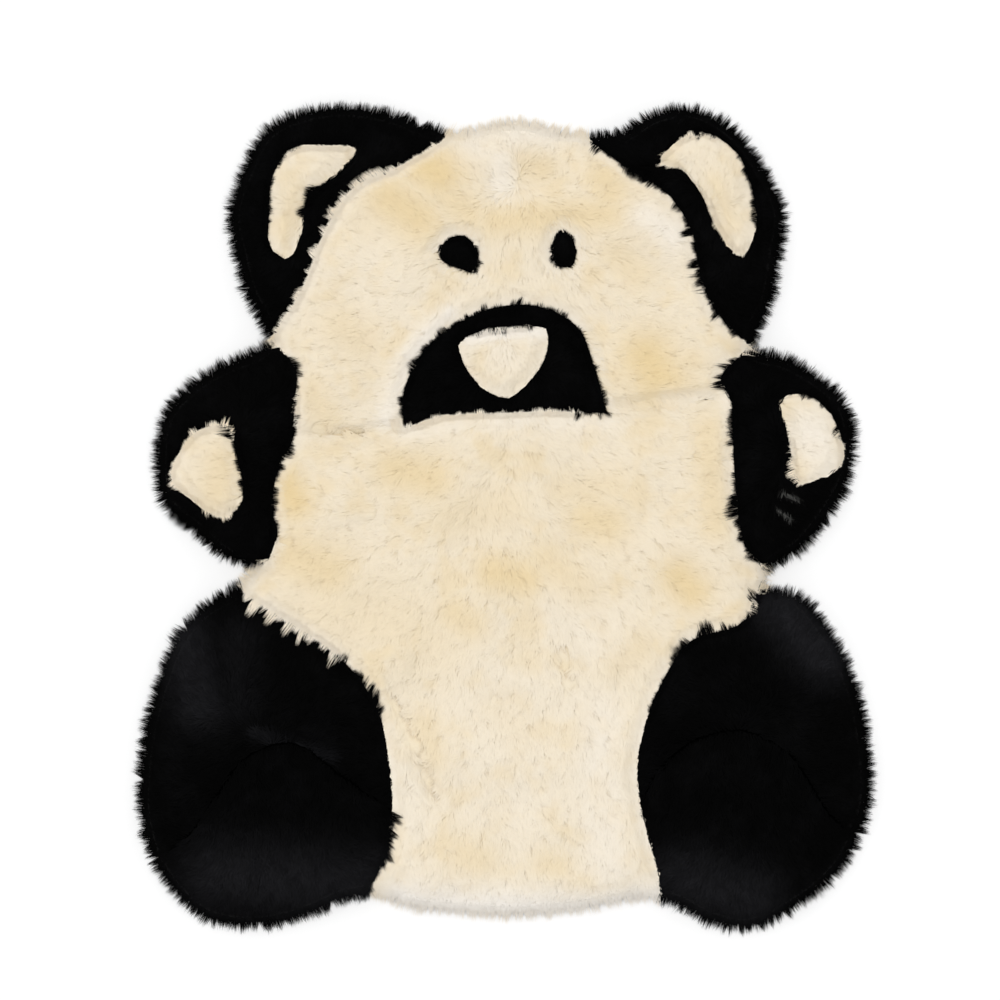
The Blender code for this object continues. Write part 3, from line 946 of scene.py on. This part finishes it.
def strand_mesh(name, strands, thickness, rng):
    """One mesh of flat, tapering strands, lit as parts of one soft surface."""
    runs = strands.points
    count, rings = runs.shape[:2]
    along = unit(np.gradient(runs, axis=1))
    side = unit(np.cross(along, np.array([0.0, 0.0, 1.0])))
    over = np.cross(side, along)
    roll = np.radians(rng.uniform(-STRAND_ROLL, STRAND_ROLL, count))[:, None, None]
    broad = side * np.cos(roll) + over * np.sin(roll)
    steps = np.linspace(0, 1, rings)
    swell = np.interp(steps, *STRAND_TAPER)
    half_width = (thickness * rng.uniform(*STRAND_WIDTHS, count))[:, None] * swell
    offset = broad * half_width[:, :, None]
    pairs = np.stack([runs - offset, runs + offset], axis=2)[:, :-1].reshape(count, -1, 3)
    verts = np.concatenate([pairs, runs[:, -1:]], axis=1)
    verts[:, :, 2] = np.maximum(verts[:, :, 2], LOWEST_EDGE)
    per = verts.shape[1]
    quads = [(2 * r, 2 * r + 1, 2 * r + 3, 2 * r + 2) for r in range(rings - 2)]
    base = np.arange(count)[:, None, None] * per
    quad_corners = (np.array(quads)[None] + base).reshape(-1)
    tip_corners = (np.array([(per - 3, per - 2, per - 1)])[None] + base).reshape(-1)
    corners = np.concatenate([quad_corners, tip_corners])
    sizes = np.concatenate([np.full(count * len(quads), 4), np.full(count, 3)])
    starts = np.concatenate([[0], np.cumsum(sizes)[:-1]])
    mesh = bpy.data.meshes.new(name)
    mesh.vertices.add(count * per)
    mesh.vertices.foreach_set("co", (verts.reshape(-1) * MM).astype(np.float32))
    mesh.loops.add(len(corners))
    mesh.loops.foreach_set("vertex_index", corners.astype(np.int32))
    mesh.polygons.add(len(sizes))
    mesh.polygons.foreach_set("loop_start", starts.astype(np.int32))
    mesh.update(calc_edges=True)
    mesh.validate()
    slope = wool_slope(verts[:, :, :2].reshape(-1, 2))
    dome = at_corners(side) * np.repeat(LOCK_DOME * strands.side, per)[:, None]
    normals = unit(slope * SOFTNESS + at_corners(over) * (1 - SOFTNESS) + dome)
    mesh.shade_smooth()
    mesh.normals_split_custom_set_from_vertices(normals)
    rising = np.concatenate([np.repeat(steps[:-1], 2), [1.0]])
    write_values(mesh, "along", np.tile(rising, count))
    write_values(mesh, "strand", np.repeat(strands.shade, per))
    write_values(mesh, "patch", np.repeat(strands.patch, per))
    write_values(mesh, "pale", np.repeat(strands.pale, per))
    bake_map(mesh, runs[:, rings // 2, :2], rising, per)
    return mesh


def seam_strands(panel, look, rng):
    """The strands along a panel's seams that lie over its neighbours' wool, from its table of overlaps."""
    rows = np.array(look.overlaps, float)
    seams, heading, far_over = rows[:, :4], np.radians(rows[:, 4]), rows[:, 5]
    roots = scatter(panel, SEAM_WOOL.pitch, rng)
    away, step, _ = nearest_side(roots, panel.sides[~panel.free])
    near = (away > SEAM_BAND[0]) & (away < SEAM_BAND[1])
    roots, out = roots[near], unit(step[near])
    away, _, row = nearest_side(roots, seams)
    near = away < SEAM_NEAR
    roots, out, away, row = roots[near], out[near], away[near], row[near]
    way = unit(np.stack([np.cos(heading[row]), np.sin(heading[row])], axis=1) + SEAM_ACROSS * out)
    fade = np.clip(SEAM_FADE * (1 - away / SEAM_NEAR), 0, 1)
    return lay_strands(panel, look, SEAM_WOOL, rng, roots, way, far_over[row] * fade)


def look_of(combing, patches=(), pale=(), creases=(), overlaps=(), pale_edges=0.0, past_like=0.0):
    """How a panel's wool lies and is coloured, and where it lies over the wool of its neighbours."""
    return SimpleNamespace(
        combing=combing, patches=patches, pale=pale, creases=creases, overlaps=overlaps,
        pale_edges=pale_edges, past_like=past_like,
    )


def grow_wool(name, look, style, split=None):
    """Grows a panel's long wool and the wool at its rim, and attaches each piece to the root."""
    panel = panels[name]
    wool = wool_of(name)
    rng = np.random.default_rng(list(panels).index(name))
    panel.past_like = np.where(panel.edged, 0, look.past_like)
    roots = scatter(panel, style.pitch, rng)
    strands = lay_strands(panel, look, style, rng, roots, fleece_way(panel, look, style, roots), PAST_SEAM)
    parts = [("wool", strands, style)]
    if split is not None:
        upper = strands.points[:, 0, 1] > split
        parts = [
            ("wool_upper", some_of(strands, upper), style),
            ("wool_lower", some_of(strands, ~upper), style),
        ]
    if panel.free.any():
        roots = scatter(panel, RIM_WOOL.pitch, rng)
        roots = roots[nearest_side(roots, panel.sides[panel.free])[0] < RIM_BAND]
        way = fleece_way(panel, look, RIM_WOOL, roots)
        parts.append(("fringe", lay_strands(panel, look, RIM_WOOL, rng, roots, way, PAST_SEAM), RIM_WOOL))
    if look.overlaps:
        parts.append(("seam_wool", seam_strands(panel, look, rng), SEAM_WOOL))
    tint_underwool(underwool[name], look)
    for part, some, how in parts:
        full_name = f"{name}_{part}"
        piece = add_object(full_name, strand_mesh(full_name, some, how.thickness, rng), wool_materials[wool])
        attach(piece, "root")


wool_materials = {
    "cream": wool_material("cream_wool", "cream"),
    "black": wool_material("black_wool", "black"),
}
face = look_of(
    FACE_COMBING, FACE_PATCHES, FACE_PALE, FACE_CREASES, FACE_OVERLAPS, pale_edges=1.0, past_like=14.0
)
torso = look_of(
    BODY_COMBING, BODY_PATCHES, BODY_PALE, BODY_CREASES, BODY_OVERLAPS, pale_edges=1.0, past_like=14.0
)
grow_wool("head", face, LONG_WOOL)
grow_wool("body", torso, LONG_WOOL, split=BODY_SPLIT)


# ---- Muzzle, nose and eyes ---------------------------------------------------------------------------
# A half-round black panel with a cream nose let into it, and two small black eyes. Each inlay is sewn
# from below into a hole cut to its shape, and its wool is clipped a little shorter.
INLAY_WOOL = SimpleNamespace(**{**vars(LONG_WOOL), "pitch": 1.4, "length": 13.0, "lock_pitch": 6.0})
BLACK_WOOL = SimpleNamespace(**{**vars(LONG_WOOL), "pitch": 2.0, "thickness": 0.9})
MUZZLE_COMBING = (
    (-85, 130, 205, 30),
    (-70, 190, 150, 25),
    (-20, 222, 100, 20),
    (40, 222, 80, 20),
    (80, 190, 30, 25),
    (85, 130, -25, 30),
    (-10, 205, 265, 9),
    (15, 206, 270, 9),
    (-20, 118, 265, 20),
    (40, 118, 275, 20),
)
NOSE_COMBING = (
    (-28, 186, 200, 22),
    (26, 190, -20, 22),
    (0, 150, 270, 25),
)
NOSE_PATCHES = ((-10, 165, 5, 150, 14, 0.3),)
NOSE_PALE = (
    (-40, 196, 38, 202, 12, 0.8),
    (-3, 180, -3, 145, 24, 0.3),
)
LEFT_EYE_COMBING = ((-50, 285, 262, 30),)
RIGHT_EYE_COMBING = ((62, 287, 275, 30),)
MUZZLE_OVERLAPS = (
    (-109, 116, -82, 187, 165, 11),
    (-82, 187, -44, 212, 125, 11),
    (-44, 212, -6, 227, 105, 11),
    (-6, 227, 59, 225, 90, 11),
    (59, 225, 92, 198, 60, 11),
    (92, 198, 106, 122, 20, 11),
    (-31, 193, -6, 201, 280, 15),
    (-6, 201, 22, 201, 270, 18),
    (76, 118, 105, 116, 270, 13),
)
NOSE_OVERLAPS = (
    (-15, 200, 8, 201, 85, 3),
)
LEFT_EYE_OVERLAPS = (
    (-73, 301, -71, 277, 200, 7),
    (-71, 301, -29, 301, 90, 4),
    (-71, 275, -30, 259, 280, 9),
    (-30, 295, -29, 263, 0, 7),
)
RIGHT_EYE_OVERLAPS = (
    (46, 281, 77, 275, 272, 9),
    (47, 309, 75, 309, 90, 4),
    (46, 306, 46, 277, 185, 7),
    (77, 306, 77, 277, 0, 7),
)
muzzle = look_of(MUZZLE_COMBING, overlaps=MUZZLE_OVERLAPS)
nose = look_of(NOSE_COMBING, NOSE_PATCHES, NOSE_PALE, overlaps=NOSE_OVERLAPS, pale_edges=0.6)
left_eye = look_of(LEFT_EYE_COMBING, overlaps=LEFT_EYE_OVERLAPS)
right_eye = look_of(RIGHT_EYE_COMBING, overlaps=RIGHT_EYE_OVERLAPS)
grow_wool("muzzle", muzzle, BLACK_WOOL)
grow_wool("nose", nose, INLAY_WOOL)
grow_wool("eye_left", left_eye, INLAY_WOOL)
grow_wool("eye_right", right_eye, INLAY_WOOL)


# ---- Ears --------------------------------------------------------------------------------------------
# Black panels sewn to the sides of the crown, each with a cream inner ear let into it. Their wool is
# combed outwards at the rim, and lies over the crown's along a part of each seam.
LEFT_EAR_COMBING = (
    (-210, 430, 100, 30),
    (-280, 350, 170, 30),
    (-270, 240, 215, 30),
    (-130, 410, 60, 30),
    (-200, 280, 320, 20),
    (-150, 350, 310, 20),
)
RIGHT_EAR_COMBING = (
    (200, 430, 80, 30),
    (285, 350, 10, 30),
    (275, 240, -35, 30),
    (130, 405, 120, 30),
    (215, 280, 220, 20),
    (160, 350, 230, 20),
)
LEFT_INNER_COMBING = (
    (-225, 370, 130, 25),
    (-235, 310, 250, 25),
)
RIGHT_INNER_COMBING = (
    (225, 370, 60, 25),
    (245, 310, -60, 25),
)
INNER_PATCHES = (
    (-225, 350, -235, 310, 14, 0.4),
    (225, 360, 240, 320, 14, 0.4),
)
LEFT_EAR_OVERLAPS = (
    (-236, 398, -251, 360, -15, 7),
    (-251, 360, -254, 306, 5, 7),
    (-205, 353, -207, 331, 180, 15),
)
RIGHT_EAR_OVERLAPS = (
    (94, 401, 156, 371, 230, 15),
    (156, 371, 200, 317, 215, 15),
    (200, 317, 214, 277, 190, 18),
    (214, 277, 221, 230, 195, 20),
    (221, 230, 245, 199, 215, 18),
    (216, 414, 267, 370, 235, 13),
    (267, 370, 272, 328, 200, 13),
)
LEFT_INNER_OVERLAPS = (
    (-233, 398, -168, 400, 90, 4),
)
RIGHT_INNER_OVERLAPS = (
    (191, 411, 217, 415, 80, 9),
    (176, 384, 176, 376, 185, 11),
    (180, 372, 211, 338, 235, 7),
    (211, 338, 252, 290, 235, 7),
)
left_ear = look_of(LEFT_EAR_COMBING, overlaps=LEFT_EAR_OVERLAPS)
right_ear = look_of(RIGHT_EAR_COMBING, overlaps=RIGHT_EAR_OVERLAPS)
left_inner = look_of(LEFT_INNER_COMBING, INNER_PATCHES, overlaps=LEFT_INNER_OVERLAPS, pale_edges=0.5)
right_inner = look_of(RIGHT_INNER_COMBING, INNER_PATCHES, overlaps=RIGHT_INNER_OVERLAPS, pale_edges=0.5)
grow_wool("ear_left", left_ear, BLACK_WOOL)
grow_wool("ear_right", right_ear, BLACK_WOOL)
grow_wool("ear_left_inner", left_inner, INLAY_WOOL)
grow_wool("ear_right_inner", right_inner, INLAY_WOOL)


# ---- Arms and paw pads -------------------------------------------------------------------------------
# Black panels sewn to the sides of the chest, each with a cream pad let in near its end. The wool of
# the arms lies over the chest's along the seam, in small spiked locks.
LEFT_ARM_COMBING = (
    (-300, 150, 130, 30),
    (-370, 80, 180, 30),
    (-350, 10, 210, 30),
    (-280, -20, 250, 30),
    (-250, 100, 0, 20),
    (-260, 40, 350, 20),
)
RIGHT_ARM_COMBING = (
    (300, 155, 50, 30),
    (370, 80, 0, 30),
    (345, 0, -30, 30),
    (290, -25, -70, 30),
    (255, 100, 180, 20),
    (262, 40, 190, 20),
)
LEFT_PAD_COMBING = ((-320, 50, 180, 30),)
RIGHT_PAD_COMBING = ((335, 85, -10, 30),)
PAD_PATCHES = (
    (-305, 60, -310, 30, 24, 0.55),
    (330, 90, 335, 60, 14, 0.3),
)
LEFT_ARM_OVERLAPS = (
    (-231, 165, -226, 133, -15, 13),
    (-226, 133, -230, 100, 0, 11),
    (-230, 100, -229, 84, -5, 15),
    (-233, 79, -253, 41, -10, 15),
    (-253, 41, -249, -11, 0, 13),
    (-290, 84, -284, 30, 180, 9),
)
RIGHT_ARM_OVERLAPS = (
    (243, 175, 230, 149, 190, 18),
    (233, 153, 234, 136, 190, 22),
    (242, 116, 245, 84, 185, 13),
    (241, 84, 241, 71, 185, 15),
    (243, 45, 247, 30, 185, 18),
    (250, 24, 252, -5, 200, 20),
    (254, -14, 265, -41, 205, 15),
    (325, 125, 362, 95, 225, 15),
)
LEFT_PAD_OVERLAPS = (
    (-363, 68, -353, 19, 195, 11),
    (-347, 14, -298, 2, 265, 9),
    (-358, 79, -315, 100, 115, 11),
    (-303, 101, -290, 95, 75, 13),
)
RIGHT_PAD_OVERLAPS = (
    (364, 84, 375, 49, -10, 9),
    (308, 73, 314, 38, 190, 13),
)
RIGHT_ARM_PALE = (
    (297, 26, 315, 19, 1.8, 0.6),
    (293, 8, 308, -2, 1.8, 0.5),
)
RIGHT_PAD_PALE = ((330, 90, 350, 60, 30, 0.6),)
left_arm = look_of(LEFT_ARM_COMBING, overlaps=LEFT_ARM_OVERLAPS)
right_arm = look_of(RIGHT_ARM_COMBING, pale=RIGHT_ARM_PALE, overlaps=RIGHT_ARM_OVERLAPS)
left_pad = look_of(LEFT_PAD_COMBING, PAD_PATCHES, overlaps=LEFT_PAD_OVERLAPS, pale_edges=0.4)
right_pad = look_of(
    RIGHT_PAD_COMBING, PAD_PATCHES, RIGHT_PAD_PALE, overlaps=RIGHT_PAD_OVERLAPS, pale_edges=0.8
)
grow_wool("arm_left", left_arm, BLACK_WOOL)
grow_wool("arm_right", right_arm, BLACK_WOOL)
grow_wool("arm_left_pad", left_pad, INLAY_WOOL)
grow_wool("arm_right_pad", right_pad, INLAY_WOOL)


# ---- Legs and soles ----------------------------------------------------------------------------------
# Each leg is a black panel that ends in an arch, and the sole is a second panel sewn along that arch.
# The wool catches the light where it is combed away from the seam, and that sheen is painted into its colour
# in the patches below.
LEFT_LEG_COMBING = (
    (-330, -140, 130, 50),
    (-370, -230, 175, 50),
    (-250, -160, 60, 50),
    (-180, -230, 10, 50),
    (-300, -270, 200, 40),
)
RIGHT_LEG_COMBING = (
    (330, -130, 50, 50),
    (370, -230, 5, 50),
    (240, -160, 120, 50),
    (190, -230, 170, 50),
    (300, -240, -20, 40),
)
LEFT_SOLE_COMBING = (
    (-250, -260, 270, 40),
    (-340, -380, 215, 40),
    (-250, -420, 265, 50),
    (-160, -380, 320, 40),
    (-250, -330, 270, 50),
)
RIGHT_SOLE_COMBING = (
    (250, -260, 270, 40),
    (340, -380, -35, 40),
    (250, -420, 275, 50),
    (180, -380, 220, 40),
    (250, -330, 270, 50),
)
# Painted sheen: lighter patches where the black wool catches the light.
LEFT_LEG_PAINTED_SHEEN = (
    (-350, -130, -330, -200, 30, 0.7),
    (-288, -133, -292, -198, 26, 0.3),
    (-270, -232, -190, -258, 9, 0.4),
)
LEFT_SOLE_PAINTED_SHEEN = ((-310, -385, -140, -400, 40, 0.7),)
RIGHT_LEG_PAINTED_SHEEN = ((300, -100, 345, -150, 30, 0.9),)
RIGHT_SOLE_PAINTED_SHEEN = ((190, -390, 265, -410, 36, 0.7),)
RIGHT_LEG_CREASES = ((207, -263, 224, -300),)
LEFT_LEG_OVERLAPS = (
    (-173, -159, -138, -211, 78, 15),
)
LEFT_SOLE_OVERLAPS = (
    (-123, -306, -125, -369, 300, 15),
    (-126, -371, -149, -406, 290, 15),
)
RIGHT_LEG_OVERLAPS = (
    (173, -159, 156, -203, 130, 9),
    (281, -95, 243, -113, 110, 15),
    (243, -113, 200, -133, 110, 22),
    (200, -133, 172, -159, 130, 24),
)
RIGHT_SOLE_OVERLAPS = (
    (138, -271, 141, -317, 180, 18),
)
left_leg = look_of(LEFT_LEG_COMBING, LEFT_LEG_PAINTED_SHEEN, overlaps=LEFT_LEG_OVERLAPS)
left_sole = look_of(LEFT_SOLE_COMBING, LEFT_SOLE_PAINTED_SHEEN, overlaps=LEFT_SOLE_OVERLAPS)
right_leg = look_of(
    RIGHT_LEG_COMBING, RIGHT_LEG_PAINTED_SHEEN, creases=RIGHT_LEG_CREASES, overlaps=RIGHT_LEG_OVERLAPS
)
right_sole = look_of(RIGHT_SOLE_COMBING, RIGHT_SOLE_PAINTED_SHEEN, overlaps=RIGHT_SOLE_OVERLAPS)
grow_wool("leg_left", left_leg, BLACK_WOOL)
grow_wool("leg_left_sole", left_sole, BLACK_WOOL)
grow_wool("leg_right", right_leg, BLACK_WOOL)
grow_wool("leg_right_sole", right_sole, BLACK_WOOL)
